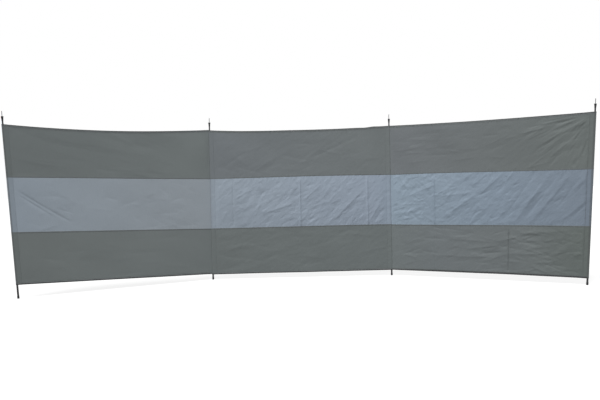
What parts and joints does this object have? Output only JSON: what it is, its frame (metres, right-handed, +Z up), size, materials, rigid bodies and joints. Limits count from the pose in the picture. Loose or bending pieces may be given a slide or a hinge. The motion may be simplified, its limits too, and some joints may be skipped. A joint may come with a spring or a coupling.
{
  "type": "beach windbreak",
  "caption": "Beach windbreak of striped cloth in bays between slim steel poles, standing in a shallow curve, with end bays that swing about the inner poles.",
  "frame": {"origin": "centre of the foot face of the left inner pole, on the ground", "axes": "+Z up along the inner poles, +X along the middle bay to the right inner pole, the front faces -Y"},
  "size_m": [4.9438, 0.903, 1.566],
  "materials": {
    "dark_cloth": "plain-woven polyester, dark greenish grey",
    "light_cloth": "plain-woven polyester, light blue grey",
    "hem_cloth": "folded and stitched polyester, dark grey",
    "pole_steel": "dark coated steel tube",
    "pin_steel": "zinc-plated steel",
    "black_plastic": "moulded black plastic"
  },
  "bodies": {
    "middle_bay": {"left_inner_foot": "black_plastic", "left_inner_lower_tube": "pole_steel", "left_inner_upper_tube": "pole_steel", "left_inner_cap": "black_plastic", "left_inner_pin": "pin_steel", "left_inner_pocket": "dark_cloth", "right_inner_foot": "black_plastic", "right_inner_lower_tube": "pole_steel", "right_inner_upper_tube": "pole_steel", "right_inner_cap": "black_plastic", "right_inner_pin": "pin_steel", "right_inner_pocket": "dark_cloth", "middle_bottom_hem": "hem_cloth", "middle_bottom_band": "dark_cloth", "middle_lower_seam": "dark_cloth", "middle_middle_band": "light_cloth", "middle_upper_seam": "dark_cloth", "middle_top_band": "dark_cloth", "middle_top_hem": "hem_cloth"},
    "left_bay": {"left_end_foot": "black_plastic", "left_end_lower_tube": "pole_steel", "left_end_upper_tube": "pole_steel", "left_end_cap": "black_plastic", "left_end_pin": "pin_steel", "left_end_pocket": "dark_cloth", "left_bottom_hem": "hem_cloth", "left_bottom_band": "dark_cloth", "left_lower_seam": "dark_cloth", "left_middle_band": "light_cloth", "left_upper_seam": "dark_cloth", "left_top_band": "dark_cloth", "left_top_hem": "hem_cloth"},
    "right_bay": {"right_end_foot": "black_plastic", "right_end_lower_tube": "pole_steel", "right_end_upper_tube": "pole_steel", "right_end_cap": "black_plastic", "right_end_pin": "pin_steel", "right_end_pocket": "dark_cloth", "right_bottom_hem": "hem_cloth", "right_bottom_band": "dark_cloth", "right_lower_seam": "dark_cloth", "right_middle_band": "light_cloth", "right_upper_seam": "dark_cloth", "right_top_band": "dark_cloth", "right_top_hem": "hem_cloth"}
  },
  "joints": [
    {"name": "left_bay_swing", "type": "hinge", "parent": "middle_bay", "child": "left_bay", "pos_m": [0, 0, 0], "axis": [0, 0, 1], "range_deg": [-119, 61]},
    {"name": "right_bay_swing", "type": "hinge", "parent": "middle_bay", "child": "right_bay", "pos_m": [1.74, 0, 0], "axis": [0, 0, -1], "range_deg": [-119, 61]}
  ]
}
